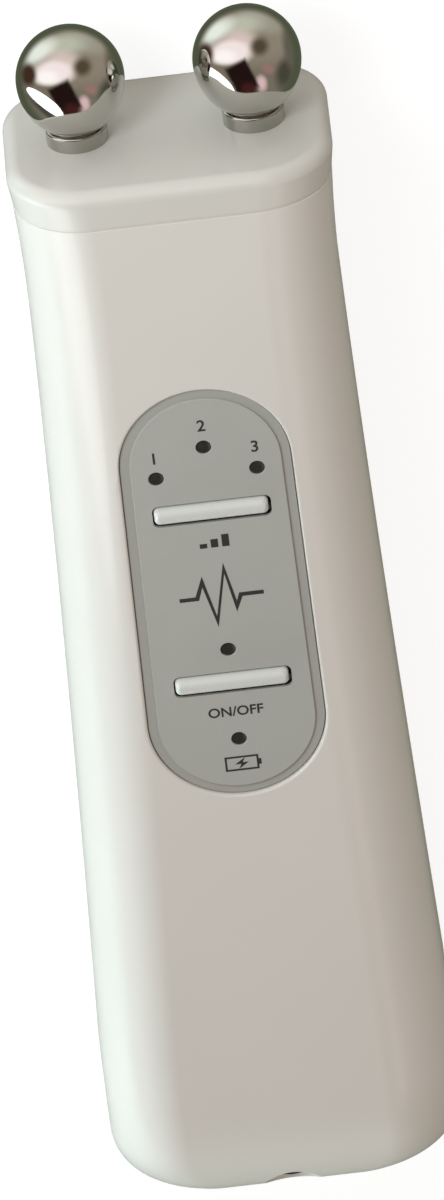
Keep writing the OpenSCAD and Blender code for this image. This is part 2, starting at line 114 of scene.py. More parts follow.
LIGHT_FIT = 0.05        # gap round it
LIGHTS = ("low", "middle", "high", "power", "charge")
BUTTONS = ("level", "power")

# charging socket
SOCKET_R = 4            # radius of the charging hole
SOCKET_BOSS_S = 16      # how far the boss round the socket reaches in
SOCKET_WALL = 2         # wall of that boss
SOCKET_Z = sum(corner.z for corner in box_mm("socket_body")) / 2

# electrodes
STUD_R = 2              # radius of the stud that holds a ball
NECK_R = 3.4            # radius of the neck between a ball and its collar
NECK_H = 0.35           # height of the neck
BALL_LOW_LEN = 8.1      # half length of a ball's lower half
STUD_BORE = 4           # depth of the stud's hole in a ball
STUD_FIT = 0.1          # gap round a stud in the cap
COLLAR_R = box_mm("electrode_collar_left")[1].z - sum(c.z for c in box_mm("electrode_collar_left")) / 2
COLLAR_H = box_mm("electrode_collar_left")[1].y - box_mm("electrode_collar_left")[0].y


def y_of(s):
    """Y of what lies at s along the body."""
    return s + TIP_Y


def middle(node):
    """Middle of a CAD node, in millimetres."""
    low, high = box_mm(node)
    return (low + high) / 2


# ---- outer form ----------------------------------------------------------------------------------
def quarter_drop(s, length, height):
    """How far a rounding of that length and height falls away at s."""
    if s >= length:
        return 0.0
    return height * (1 - math.sqrt(max(0.0, 1 - (1 - s / length) ** 2)))


def side_half(s):
    """Half width of the body at s, before the foot's corners."""
    if s < WAIST_S:
        share = min(WAIST_S - s, FLARE_FULL) / FLARE_FULL
        return WAIST_HALF + (FOOT_HALF - WAIST_HALF) * share ** FLARE_POWER
    return WAIST_HALF + (CAP_HALF - WAIST_HALF) * ((s - WAIST_S) / (HEAD_S - WAIST_S)) ** 2


def corner(cx, cz, r, start, n):
    """Quarter circle in n steps, from the angle start, as points (x, z)."""
    angles = (math.radians(start + 90 * i / n) for i in range(n + 1))
    return [(cx + r * math.cos(a), cz + r * math.sin(a)) for a in angles]


def section(s, inset, n):
    """Outline of the body at s, made smaller by inset, as points (x, z)."""
    half = side_half(s) - quarter_drop(s, FOOT_SIDE_LEN, FOOT_SIDE_W) - inset
    high = BODY_T - quarter_drop(s, FOOT_FRONT_LEN, BODY_T - TIP_Z - TIP_T / 2) - inset
    low = quarter_drop(s, FOOT_BACK_LEN, TIP_Z - TIP_T / 2) + inset
    front = max(LEAST_R, min(FRONT_R - inset, (high - low) * FRONT_SHARE, half * SIDE_SHARE))
    back = max(LEAST_R, min(BACK_R - inset, (high - low) * BACK_SHARE, half * SIDE_SHARE))
    return (
        corner(half - front, high - front, front, 0, n)
        + corner(front - half, high - front, front, 90, n)
        + corner(back - half, low + back, back, 180, n)
        + corner(half - back, low + back, back, 270, n)
    )


ARC_N = 20              # steps of each long edge's rounding
FOOT_N = 40             # sections through the foot
SHAFT_STEP = 4          # distance between the sections above it
foot_stations = [FOOT_FRONT_LEN * (1 - math.cos(math.pi / 2 * i / FOOT_N)) for i in range(FOOT_N + 1)]
shaft_stations = [
    FOOT_FRONT_LEN + SHAFT_STEP * i
    for i in range(1, int((BODY_LEN - FOOT_FRONT_LEN - 1) / SHAFT_STEP) + 1)
]


def ring_at(s, inset=0.0, shape_s=None):
    """A section of the body placed at s, with the shape that it has at shape_s."""
    outline = section(s if shape_s is None else shape_s, inset, ARC_N)
    return [(x, y_of(s), z) for x, z in outline]


# ---- mesh tools ----------------------------------------------------------------------------------
def solid(name, vertices, faces):
    """A closed mesh in millimetres, its faces turned outwards."""
    mesh = bpy.data.meshes.new(name)
    work = bmesh.new()
    made = [work.verts.new(v) for v in vertices]
    for face in faces:
        work.faces.new([made[i] for i in face])
    bmesh.ops.recalc_face_normals(work, faces=work.faces[:])
    work.to_mesh(mesh)
    work.free()
    piece = bpy.data.objects.new(name, mesh)
    bpy.context.scene.collection.objects.link(piece)
    return piece


def skin(name, rings):
    """Closed solid through rings that all have the same number of points."""
    n = len(rings[0])
    last = (len(rings) - 1) * n
    sides = [
        [k + i, k + n + i, k + n + (i + 1) % n, k + (i + 1) % n]
        for k in range(0, last, n)
        for i in range(n)
    ]
    ends = [list(range(n)), list(range(last + n - 1, last - 1, -1))]
    return solid(name, [p for ring in rings for p in ring], sides + ends)


def lathe(name, centre, axis, profile, n):
    """Closed solid of n sides, turned about a line along axis, which is "y" or "z".

    The profile is a loop of (radius, height) points.
    """
    vertices, rows = [], []
    for radius, height in profile:
        row = []
        for i in range(n if radius > 0 else 1):
            a = 2 * math.pi * i / n
            u, v = radius * math.cos(a), radius * math.sin(a)
            row.append(len(vertices))
            vertices.append((centre[0] + u, height, centre[2] + v) if axis == "y"
                            else (centre[0] + u, centre[1] + v, height))
        rows.append(row)
    faces = []
    for a, b in zip(rows, rows[1:] + rows[:1]):
        for i in range(n):
            j = (i + 1) % n
            quad = [a[i % len(a)], a[j % len(a)], b[j % len(b)], b[i % len(b)]]
            quad = list(dict.fromkeys(quad))
            if len(quad) > 2:
                faces.append(quad)
    return solid(name, vertices, faces)


def combine(piece, tool, operation="DIFFERENCE"):
    """Cuts tool from piece, joins it or keeps what they share, and removes tool."""
    modifier = piece.modifiers.new("combine", "BOOLEAN")
    modifier.object = tool
    modifier.operation = operation
    modifier.solver = "MANIFOLD"
    depsgraph = bpy.context.evaluated_depsgraph_get()
    result = bpy.data.meshes.new_from_object(piece.evaluated_get(depsgraph))
    piece.modifiers.clear()
    old = piece.data
    piece.data = result
    bpy.data.meshes.remove(old)
    bpy.data.objects.remove(tool)
    return piece


def block(name, low, high):
    """Box between two opposite corners."""
    corners = [(x, y, z) for z in (low[2], high[2]) for y in (low[1], high[1]) for x in (low[0], high[0])]
    faces = [(0, 1, 3, 2), (4, 5, 7, 6), (0, 1, 5, 4), (2, 3, 7, 6), (0, 2, 6, 4), (1, 3, 7, 5)]
    return solid(name, corners, faces)


def place(piece, body, material, replaces=(), sharp=35):
    """Turns a piece made in millimetres into a finished one that rides on a body."""
    piece.data.transform(Matrix.Scale(MM, 4))
    piece.data.shade_smooth()
    piece.data.set_sharp_from_angle(angle=math.radians(sharp))
    normals = piece.modifiers.new("normals", "WEIGHTED_NORMAL")
    normals.keep_sharp = True
    piece.data.materials.clear()
    piece.data.materials.append(material)
    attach(piece, body)
    if replaces:
        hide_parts(*replaces)
    return piece


SLOT_N = 48             # steps of each round end of the panel


def slot_ring(grow, z):
    """Outline of the panel's pocket, made larger by grow: a stadium that widens towards the foot."""
    r0, r1 = PANEL_TOP_R + grow, PANEL_FOOT_R + grow
    lean = math.asin((r1 - r0) / (PANEL_S0 - PANEL_S1))
    points = []
    for s, r, start, sweep in (
        (PANEL_S0, r0, lean, math.pi - 2 * lean),
        (PANEL_S1, r1, math.pi - lean, math.pi + 2 * lean),
    ):
        for i in range(SLOT_N + 1):
            a = start + sweep * i / SLOT_N
            points.append((r * math.cos(a), y_of(s) + r * math.sin(a), z))
    return points


CORNER_N = 8            # steps of each corner of a bar


def bar_ring(centre, half_x, half_y, r, z):
    """Outline of a rectangle with corners of radius r."""
    points = []
    for side, end, start in ((1, 1, 0), (-1, 1, 90), (-1, -1, 180), (1, -1, 270)):
        for i in range(CORNER_N + 1):
            a = math.radians(start + 90 * i / CORNER_N)
            points.append((centre[0] + side * (half_x - r) + r * math.cos(a),
                           centre[1] + end * (half_y - r) + r * math.sin(a), z))
    return points


def circle_ring(centre, radius, z, n=64):
    angles = (2 * math.pi * i / n for i in range(n))
    return [(centre[0] + radius * math.cos(a), centre[1] + radius * math.sin(a), z) for a in angles]


def rounding(radius, n=6):
    """Steps of a quarter round, as (how far out, how far up) from its start."""
    steps = (math.pi / 2 * i / n for i in range(n + 1))
    return [(radius * (1 - math.cos(a)), radius * math.sin(a)) for a in steps]


# ---- materials -----------------------------------------------------------------------------------
class Nodes:
    """Short names for the nodes that the materials and the world are built from."""

    def __init__(self, tree):
        self.tree = tree
        tree.nodes.clear()

    def add(self, kind, **settings):
        node = self.tree.nodes.new(kind)
        for key, value in settings.items():
            setattr(node, key, value)
        return node

    def put(self, value, socket):
        if isinstance(value, bpy.types.NodeSocket):
            self.tree.links.new(value, socket)
        else:
            socket.default_value = value

    def math(self, operation, a, b=0.0):
        node = self.add("ShaderNodeMath", operation=operation)
        self.put(a, node.inputs[0])
        self.put(b, node.inputs[1])
        return node.outputs[0]

    def total(self, a, times_a, b, times_b):
        """a times one number or value, plus b times another."""
        return self.math("ADD", self.math("MULTIPLY", a, times_a), self.math("MULTIPLY", b, times_b))

    def dot(self, a, b):
        node = self.add("ShaderNodeVectorMath", operation="DOT_PRODUCT")
        self.put(a, node.inputs[0])
        self.put(b, node.inputs[1])
        return node.outputs["Value"]

    def mix(self, share, a, b):
        node = self.add("ShaderNodeMix", data_type="RGBA")
        self.put(share, node.inputs["Factor"])
        self.put(a, node.inputs[6])
        self.put(b, node.inputs[7])
        return node.outputs[2]

    def spread(self, value, low, high, to_low=0.0, to_high=1.0):
        """Smooth step from to_low, where value is low, to to_high, where it is high."""
        node = self.add("ShaderNodeMapRange", interpolation_type="SMOOTHSTEP")
        for key, number in (("Value", value), ("From Min", low), ("From Max", high),
                            ("To Min", to_low), ("To Max", to_high)):
            self.put(number, node.inputs[key])
        return node.outputs["Result"]

    def where(self, stretch=(1, 1, 1)):
        """Where a point is on the piece, in metres."""
        node = self.add("ShaderNodeMapping")
        node.inputs["Scale"].default_value = stretch
        self.put(self.add("ShaderNodeTexCoord").outputs["Object"], node.inputs["Vector"])
        return node.outputs["Vector"]

    def noise(self, size_mm, detail=3.0, stretch=(1, 1, 1), roughness=0.5):
        node = self.add("ShaderNodeTexNoise")
        self.put(self.where(stretch), node.inputs["Vector"])
        node.inputs["Scale"].default_value = 1 / (size_mm * MM)
        node.inputs["Detail"].default_value = detail
        node.inputs["Roughness"].default_value = roughness
        return node.outputs["Fac"]

    def bump(self, height, depth_mm):
        node = self.add("ShaderNodeBump")
        node.inputs["Strength"].default_value = 1.0
        node.inputs["Distance"].default_value = depth_mm * MM
        self.put(height, node.inputs["Height"])
        return node.outputs["Normal"]

    def surface(self, colour, roughness, normal, **fixed):
        """The material's surface, with any other inputs of the shader set to fixed values."""
        shader = self.add("ShaderNodeBsdfPrincipled")
        self.put(colour, shader.inputs["Base Color"])
        self.put(roughness, shader.inputs["Roughness"])
        self.put(normal, shader.inputs["Normal"])
        for key, value in fixed.items():
            shader.inputs[key.replace("_", " ")].default_value = value
        self.put(shader.outputs[0], self.add("ShaderNodeOutputMaterial").inputs["Surface"])


def rgba(colour, factor=1.0):
    return tuple(c * factor for c in colour) + (1.0,)


def new_material(name):
    material = bpy.data.materials.new(name)
    material.use_nodes = True
    return material, Nodes(material.node_tree)


def moulded(name, colour, roughness, mottle=0.03, peel_mm=0.9, peel_depth=0.004, crease_shade=0.0, wear=0.07,
            dark_below=None):
    """Injection-moulded plastic: faint mottling, handling marks in the gloss and a soft orange peel, and
    where asked, painted shade that darkens its colour in creases and gaps.

    Below the height dark_below, in millimetres, it is painted a dark grey, as painted shade in the gaps round
    the piece.
    """
    material, n = new_material(name)
    tone = n.mix(n.noise(14, 4), rgba(colour, 1 - mottle), rgba(colour, 1 + mottle))
    # painted shade: dark grey below a height, so that the gaps round the piece look shaded
    if dark_below:
        edge = 0.08
        height = n.add("ShaderNodeSeparateXYZ")
        n.put(n.where(), height.inputs[0])
        above_gap_shade = n.spread(height.outputs["Z"], (dark_below - edge) * MM, (dark_below + edge) * MM)
        tone = n.mix(above_gap_shade, rgba(GAP_SHADE_GREY), tone)
    # painted shade: the colour darkens in creases and gaps, where ambient occlusion finds them
    if crease_shade:
        crease = 0.5
        shade = n.add("ShaderNodeAmbientOcclusion", samples=8, only_local=True)
        shade.inputs["Distance"].default_value = crease * MM
        unshaded_share = n.spread(shade.outputs["AO"], 0.25, 0.9)
        tone = n.mix(unshaded_share, rgba(colour, 1 - crease_shade), tone)
    handling = n.spread(n.noise(9, 5), 0.35, 0.7, roughness - wear / 2, roughness + wear)
    normal = n.bump(n.noise(peel_mm, 2), peel_depth)
    n.surface(tone, handling, normal)
    return material


def film(name, colour, roughness, grain_mm=0.12, grain_depth=0.006):
    """Printed satin film: fine even grain and a little unevenness in the ink."""
    material, n = new_material(name)
    ink = n.mix(n.noise(6, 5), rgba(colour, 0.975), rgba(colour, 1.025))
    speck = n.mix(n.spread(n.noise(0.25, 1), 0.62, 0.75, 0.0, 0.5), ink, rgba(colour, 1.12))
    n.surface(speck, n.spread(n.noise(5, 4), 0.3, 0.7, roughness - 0.05, roughness + 0.06),
              n.bump(n.noise(grain_mm, 2), grain_depth))
    return material


def polished(name, colour, roughness=0.05, haze=0.07, scratch_depth=0.0015):
    """Polished plating: fine polishing scratches, with a thin haze where fingers have been."""
    material, n = new_material(name)
    smear = n.spread(n.noise(4, 6, roughness=0.65), 0.48, 0.72, roughness, roughness + haze)
    fine = n.noise(0.5, 3, stretch=(1, 0.06, 1))
    tint = n.mix(n.noise(5, 3), rgba(colour, 0.96), rgba(colour, 1.0))
    n.surface(tint, smear, n.bump(fine, scratch_depth), Metallic=1.0)
    return material


def brushed(name, colour, roughness=0.28):
    """Plated or drawn metal with marks along Y."""
    material, n = new_material(name)
    marks = n.noise(0.4, 4, stretch=(1, 0.05, 1))
    tone = n.mix(marks, rgba(colour, 0.86), rgba(colour, 1.06))
    n.surface(tone, n.spread(marks, 0.3, 0.7, roughness - 0.07, roughness + 0.1), n.bump(marks, 0.01),
              Metallic=1.0)
    return material


def smoked(name, colour):
    """Dark glossy plastic, a little uneven in tone and gloss, as a smoked window looks unlit."""
    material, n = new_material(name)
    tone = n.mix(n.noise(0.6, 3), rgba(colour, 0.8), rgba(colour, 1.3))
    n.surface(tone, n.spread(n.noise(1.2, 4), 0.3, 0.7, 0.10, 0.2), n.bump(n.noise(0.8, 2), 0.003),
              IOR=1.49)
    return material


def board(name, colour):
    """Solder mask over copper tracks."""
    material, n = new_material(name)
    tracks = n.spread(n.noise(1.6, 1, stretch=(1, 0.25, 1)), 0.49, 0.52)
    n.surface(n.mix(tracks, rgba(colour, 0.75), rgba(colour, 1.35)), 0.35, n.bump(tracks, 0.03))
    return material


# dark grey painted into the gaps round the panel and the buttons, as painted shade
GAP_SHADE_GREY = (0.035, 0.035, 0.033)
# the shell and the cap get painted shade in their creases and seams
GLOSSY = {"mottle": 0.015, "crease_shade": 0.1, "wear": 0.03, "peel_depth": 0.003}
SHELL = moulded("ivory_shell", (0.745, 0.715, 0.665), 0.22, **GLOSSY)
CAP = moulded("ivory_cap", (0.68, 0.66, 0.61), 0.24, **GLOSSY)
CHROME_COLOUR = (0.56, 0.555, 0.52)
CHROME = polished("polished_chrome", CHROME_COLOUR)
COLLAR = polished("collar_chrome", (0.45, 0.45, 0.41), 0.12, 0.1)
# the panel frame and the buttons are painted dark grey below a height, as painted shade in their gaps
PANEL = moulded("panel_grey", (0.42, 0.42, 0.385), 0.36, peel_mm=0.4, dark_below=FRAME_TOP - 0.15)
OVERLAY = film("overlay_film", (0.45, 0.455, 0.42), 0.42)
BUTTON = moulded("button_grey", (0.68, 0.695, 0.655), 0.27, peel_mm=0.5, dark_below=BODY_T - 0.8)
INK = film("print_ink", (0.035, 0.035, 0.03), 0.45)
WINDOW = smoked("smoked_window", (0.032, 0.032, 0.026))
STEEL = brushed("bright_steel", (0.62, 0.62, 0.61))
BRASS = brushed("brass_contact", (0.78, 0.62, 0.33))
BLACK = moulded("black_plastic", (0.028, 0.028, 0.029), 0.42, mottle=0.15, peel_mm=0.3, peel_depth=0.01)

INNER_FINISH = {
    "bright_steel": STEEL,
    "brass_contact": BRASS,
    "black_plastic": BLACK,
    "board_green": board("board_green", (0.03, 0.22, 0.09)),
    "chip_black": moulded("chip_epoxy", (0.03, 0.03, 0.033), 0.5, mottle=0.2, peel_mm=0.15, peel_depth=0.01),
    "ferrite": moulded("ferrite", (0.09, 0.09, 0.095), 0.55, mottle=0.25, peel_mm=0.25, peel_depth=0.02),
    "winding_tape": film("winding_tape", (0.72, 0.5, 0.12), 0.3),
    "capacitor_sleeve": moulded("capacitor_sleeve", (0.05, 0.07, 0.2), 0.25, mottle=0.1),
    "cell_sleeve": moulded("cell_sleeve", (0.06, 0.28, 0.15), 0.25, mottle=0.08),
    "foam": moulded("foam", (0.09, 0.09, 0.09), 0.95, mottle=0.3, peel_mm=0.5, peel_depth=0.15),
    "light_clear": moulded("light_clear", (0.68, 0.85, 0.68), 0.12, mottle=0.05),
    "wire_red": moulded("wire_red", (0.6, 0.03, 0.03), 0.4, mottle=0.1),
    "wire_black": moulded("wire_black", (0.025, 0.025, 0.025), 0.4, mottle=0.15),
    "wire_white": moulded("wire_white", (0.78, 0.78, 0.75), 0.4, mottle=0.06),
    "wire_yellow": moulded("wire_yellow", (0.75, 0.6, 0.05), 0.4, mottle=0.08),
}


# ---- camera --------------------------------------------------------------------------------------
CAMERA_TILT = 31.58     # degrees from straight above the control face, towards the head
CAMERA_TURN = 0.68      # degrees to the right of the centre line
CAMERA_ROLL = -6.98     # degrees, which leans the head to the left
CAMERA_FAR = 1800       # distance to the aim point
FRAME_LONG_PX = 1200
PX_PER_MM = 7.353       # at the aim point
AIM = Vector((0, 0, 15))
AIM_OFFSET_PX = Vector((2.6, 8.5))      # where the aim point lies, right of and below the picture's middle

turn, tilt, roll = (math.radians(a) for a in (CAMERA_TURN, CAMERA_TILT, CAMERA_ROLL))
to_camera = Vector((math.sin(turn) * math.cos(tilt), math.sin(tilt), math.cos(turn) * math.cos(tilt)))
level = Vector((math.cos(turn), 0, -math.sin(turn)))
across = math.cos(roll) * level + math.sin(roll) * to_camera.cross(level)
up = -math.sin(roll) * level + math.cos(roll) * to_camera.cross(level)

camera = bpy.data.objects.new("camera", bpy.data.cameras.new("camera"))
bpy.context.scene.collection.objects.link(camera)
camera.data.lens = PX_PER_MM * CAMERA_FAR / FRAME_LONG_PX * camera.data.sensor_width
eye = AIM + CAMERA_FAR * to_camera - across * AIM_OFFSET_PX.x / PX_PER_MM + up * AIM_OFFSET_PX.y / PX_PER_MM
camera.matrix_world = Matrix.Translation(eye * MM) @ Matrix((across, up, to_camera)).transposed().to_4x4()
camera.data.clip_start = 0.05
camera.data.clip_end = 20
bpy.context.scene.camera = camera
bpy.context.scene.view_settings.view_transform = "Standard"


# ---- shells --------------------------------------------------------------------------------------
SEAM_W = 0.22           # width of the groove between the shells
SEAM_DEPTH = 0.35       # its depth
CAP_GROOVE = 0.12       # depth of the shallow groove under the cap
OVER = 1.0              # how far a cutting tool goes past what it cuts
EDGE_R = 0.12           # rounding of the edges at the parting line
CAVITY_LAG = 1.6        # how much later the foot's rounding comes inside
CAVITY_S = 5            # where the inside begins
RIM_R = 0.45            # rounding of the rims of the pocket and the counterbores


def body_form(name):
    """The whole body below the cap, both shells in one."""
    rings = [ring_at(s) for s in foot_stations + shaft_stations]
    rings += [ring_at(BODY_LEN - EDGE_R + rise, out, BODY_LEN) for out, rise in rounding(EDGE_R, 4)]
    return skin(name, rings)


def cavity(name):
    """The inside of the body, a wall thickness smaller and open at the head."""
    stations = [CAVITY_S] + [s for s in foot_stations if s > CAVITY_S + 0.2]
    stations += shaft_stations + [BODY_LEN + OVER]
    return skin(name, [ring_at(s, WALL, min(s - CAVITY_LAG, BODY_LEN)) for s in stations])


def pocket(name, grow, low, high):
    """Straight block of the pocket's outline."""
    return skin(name, [slot_ring(grow, low), slot_ring(grow, high)])


def button_slot(name, which, low, high, flare):
    """The hole that a button moves in, wider at its top edge by flare."""
    c = middle(f"{which}_button")
    centre = (c.x + (BUTTON_RIGHT_GAP - BUTTON_GAP) / 2, c.y - (BUTTON_FOOT_GAP - BUTTON_GAP) / 2)
    half_x = (BUTTON_LEN + BUTTON_GAP + BUTTON_RIGHT_GAP) / 2
    half_y = (BUTTON_W + BUTTON_GAP + BUTTON_FOOT_GAP) / 2
    r = BUTTON_CORNER_R + BUTTON_GAP
    levels = [(0, low)] + [(out, high - flare + rise) for out, rise in rounding(flare, 4)]
    if flare:
        levels.append((flare, high + OVER))
    return skin(name, [bar_ring(centre, half_x + out, half_y + out, r + out, z) for out, z in levels])


def light_hole(name, which, low, high, flare):
    """The hole of a light window, wider at its top edge by flare."""
    c = middle(f"{which}_window")
    levels = [(0, low)] + [(out, high - flare + rise) for out, rise in rounding(flare, 3)]
    if flare:
        levels.append((flare, high + OVER))
    return skin(name, [circle_ring(c, LIGHT_R + LIGHT_FIT + out, z) for out, z in levels])


def barrel(name, centre, s0, s1, radius):
    """Cylinder along the body, from s0 to s1."""
    y0, y1 = y_of(s0), y_of(s1)
    return lathe(name, centre, "y", [(0, y0), (radius, y0), (radius, y1), (0, y1)], 96)


def panel_openings(piece, low, high, flare):
    """Cuts the holes for the buttons and the lights."""
    for which in BUTTONS:
        combine(piece, button_slot("tool", which, low, high, flare))
    for which in LIGHTS:
        combine(piece, light_hole("tool", which, low, high, flare))


def seam_groove():
    """Ring-shaped tool for the groove where the two shells meet."""
    reach = FOOT_HALF + OVER
    tool = block("groove", (-reach, y_of(-OVER), SPLIT_Z - SEAM_W / 2),
                 (reach, y_of(BODY_LEN + OVER), SPLIT_Z + SEAM_W / 2))
    stations = [s for s in foot_stations if s > SEAM_DEPTH] + shaft_stations + [BODY_LEN + 2 * OVER]
    core = skin("core", [ring_at(s, SEAM_DEPTH, min(max(s - SEAM_DEPTH, 0.0), BODY_LEN)) for s in stations])
    return combine(tool, core)


def half_space(name, low, high):
    """Block wider and longer than the body, between two heights."""
    reach = FOOT_HALF + OVER
    return block(name, (-reach, y_of(-OVER), low), (reach, y_of(BODY_LEN + OVER), high))


def front_shell():
    """Front shell, with the pocket, the pad under it and the charging hole."""
    socket_line = (0, 0, SOCKET_Z)
    hollow = cavity("hollow")
    combine(hollow, pocket("pad", PAD_MARGIN, PAD_Z, BODY_T + OVER))
    combine(hollow, barrel("boss", socket_line, -OVER, SOCKET_BOSS_S, SOCKET_R + SOCKET_WALL))
    front = body_form("front_shell_skin")
    combine(front, seam_groove())
    combine(front, half_space("half", SPLIT_Z, BODY_T + OVER), "INTERSECT")
    combine(front, hollow)
    levels = [(0, POCKET_FLOOR)] + [(out, BODY_T - RIM_R + rise) for out, rise in rounding(RIM_R, 6)]
    levels.append((RIM_R, BODY_T + OVER))
    combine(front, skin("pocket", [slot_ring(out, z) for out, z in levels]))
    panel_openings(front, PAD_Z - OVER, POCKET_FLOOR + OVER / 2, 0.0)
    combine(front, barrel("socket_hole", socket_line, -OVER, SOCKET_BOSS_S + OVER, SOCKET_R))
    place(front, "housing", SHELL, ["front_shell"])


front_shell()

SCREW_PLACES = [(17, 30), (-17, 30), (14.5, 150), (-14.5, 150)]     # x and s of each shell screw
SCREW_BOSS_R = 3.2      # boss round a screw
SCREW_BORE_R = 2.6      # counterbore for its head
SCREW_HOLE_R = 1.4      # hole for its thread
SCREW_SEAT_Z = 9        # height at which its head sits


def rear_shell():
    """Rear shell, with its screw bosses and counterbores."""
    hollow = cavity("hollow")
    for x, s in SCREW_PLACES:
        centre = (x, y_of(s), 0)
        combine(hollow, skin("boss", [circle_ring(centre, SCREW_BOSS_R, z) for z in (0, BODY_T)]))
    rear = body_form("rear_shell_skin")
    combine(rear, seam_groove())
    combine(rear, half_space("half", -OVER, SPLIT_Z), "INTERSECT")
    combine(rear, hollow)
    for x, s in SCREW_PLACES:
        centre = (x, y_of(s), 0)
        levels = [(SCREW_BORE_R + RIM_R, -OVER)]
        levels += [(SCREW_BORE_R + out, RIM_R - rise) for out, rise in reversed(rounding(RIM_R, 4))]
        levels += [(SCREW_BORE_R, SCREW_SEAT_Z), (SCREW_HOLE_R, SCREW_SEAT_Z), (SCREW_HOLE_R, SPLIT_Z + OVER)]
        combine(rear, skin("recess", [circle_ring(centre, r, z) for r, z in levels]))
    place(rear, "housing", SHELL, ["rear_shell"])


rear_shell()


# ---- head cap ------------------------------------------------------------------------------------
CAP_GAP = 0.3           # parting gap under the cap
RIM_N = 12              # steps of its rim's rounding
LIP_S = 160             # how far down the lip reaches into the body
LIP_INSET = WALL + 0.25
LIP_T = 1.15            # thickness of the lip
CAP_CEILING = HEAD_S - 2.3


def head_cap():
    """Head cap, with the lip that reaches into the body."""
    levels = [(BODY_LEN + 0.02, CAP_GROOVE, BODY_LEN)]
    for out, rise in reversed(rounding(EDGE_R, 4)):
        levels.append((BODY_LEN + CAP_GAP + EDGE_R - rise, out, BODY_LEN))
    for i in range(RIM_N + 1):
        a = math.pi / 2 * i / RIM_N
        levels.append((HEAD_S - CAP_RIM_R * (1 - math.sin(a)), CAP_RIM_R * (1 - math.cos(a)), HEAD_S))
    cap = skin("head_cap_skin", [ring_at(s, inset, shape) for s, inset, shape in levels])
    lip = skin("lip", [ring_at(s, LIP_INSET, BODY_LEN) for s in (LIP_S, BODY_LEN + 1)])
    combine(cap, lip, "UNION")
    inside = [ring_at(s, LIP_INSET + LIP_T, BODY_LEN) for s in (LIP_S - OVER, CAP_CEILING)]
    combine(cap, skin("hollow", inside))
    for side in ("left", "right"):
        hole = middle(f"electrode_stud_{side}")
        combine(cap, barrel("stud_hole", hole, CAP_CEILING - OVER, HEAD_S + OVER, STUD_R + STUD_FIT))
    place(cap, "housing", CAP, ["head_cap"])


head_cap()


# ---- electrodes ----------------------------------------------------------------------------------
def electrode(side):
    """A ball, drawn out towards its neck, and the collar that it stands on."""
    low, high = box_mm(f"electrode_ball_{side}")
    ball_r = (high.x - low.x) / 2
    centre = Vector(((low.x + high.x) / 2, high.y - ball_r, (low.z + high.z) / 2))
    # round above its middle, drawn out below it towards the neck
    neck_top = low.y + NECK_H
    end = math.asin((centre.y - neck_top) / BALL_LOW_LEN)
    upper_n, lower_n = 50, 40
    profile = [(0, centre.y + ball_r)]
    for i in range(1, upper_n + 1):
        a = math.pi / 2 * i / upper_n
        profile.append((ball_r * math.sin(a), centre.y + ball_r * math.cos(a)))
    for i in range(1, lower_n):
        a = end * i / lower_n
        profile.append((ball_r * math.cos(a), centre.y - BALL_LOW_LEN * math.sin(a)))
    foot_step = 0.08
    profile += [(ball_r * math.cos(end) - foot_step, neck_top), (NECK_R, neck_top), (NECK_R, low.y)]
    profile += [(STUD_R, low.y), (STUD_R, low.y + STUD_BORE), (0, low.y + STUD_BORE)]
    ball = lathe(f"ball_{side}_polished", centre, "y", profile, 160)
    place(ball, "housing", CHROME, [f"electrode_ball_{side}"], sharp=40)

    edge = 0.35
    base = box_mm(f"electrode_collar_{side}")[0].y
    profile = [(STUD_R, base), (COLLAR_R, base)]
    profile += [(COLLAR_R - out, base + COLLAR_H - edge + rise) for out, rise in rounding(edge, 8)]
    profile += [(STUD_R, base + COLLAR_H)]
    collar = lathe(f"collar_{side}_polished", centre, "y", profile, 128)
    place(collar, "housing", COLLAR, [f"electrode_collar_{side}"], sharp=40)


for side in ("left", "right"):
    electrode(side)


# ---- control panel -------------------------------------------------------------------------------
def plate(name, grow, low, high, edge):
    """Flat plate of the pocket's outline with a rounded top edge."""
    levels = [(grow, low)] + [(grow - out, high - edge + rise) for out, rise in rounding(edge, 4)]
    return skin(name, [slot_ring(g, z) for g, z in levels])


FRAME_EDGE = 0.1        # roundings of the top edges
OVERLAY_EDGE = 0.12
HOLE_EDGE = 0.08

frame_piece = plate("panel_frame_skin", -PANEL_FIT, POCKET_FLOOR, FRAME_TOP, FRAME_EDGE)
panel_openings(frame_piece, POCKET_FLOOR - OVER, FRAME_TOP, 0.0)
place(frame_piece, "housing", PANEL, ["panel_frame"])

overlay = plate("panel_overlay_skin", -BORDER_W, FRAME_TOP, OVERLAY_TOP, OVERLAY_EDGE)
panel_openings(overlay, FRAME_TOP - OVER, OVERLAY_TOP, HOLE_EDGE)
place(overlay, "housing", OVERLAY, ["panel_overlay"])


def key(which):
    """Push button: half-round bar on a flange, with a post to the switch under it."""
    low, high = box_mm(f"{which}_button")
    centre = middle(f"{which}_button")
    half_x, half_y = BUTTON_LEN / 2, BUTTON_W / 2
    end_r = 0.6
    post_r = 1.5
    axis_z = high.z - half_y
    flange_z = PAD_Z - FLANGE_GAP - FLANGE_H
    rings = [
        bar_ring(centre, post_r, post_r, post_r, low.z),
        bar_ring(centre, post_r, post_r, post_r, flange_z),
        bar_ring(centre, half_x + FLANGE, half_y + FLANGE, BUTTON_CORNER_R, flange_z),
        bar_ring(centre, half_x + FLANGE, half_y + FLANGE, BUTTON_CORNER_R, flange_z + FLANGE_H),
        bar_ring(centre, half_x, half_y, BUTTON_CORNER_R, flange_z + FLANGE_H),
    ]
    dome_n = 14
    for i in range(dome_n):
        a = math.radians(87) * i / (dome_n - 1)
        narrow = half_y * math.cos(a)
        rings.append(bar_ring(centre, half_x - end_r * (1 - math.cos(a)), narrow,
                              min(BUTTON_CORNER_R, 0.9 * narrow), axis_z + half_y * math.sin(a)))
    piece = skin(f"{which}_button_skin", rings)
    place(piece, f"{which}_key", BUTTON, [f"{which}_button"])


for which in BUTTONS:
    key(which)


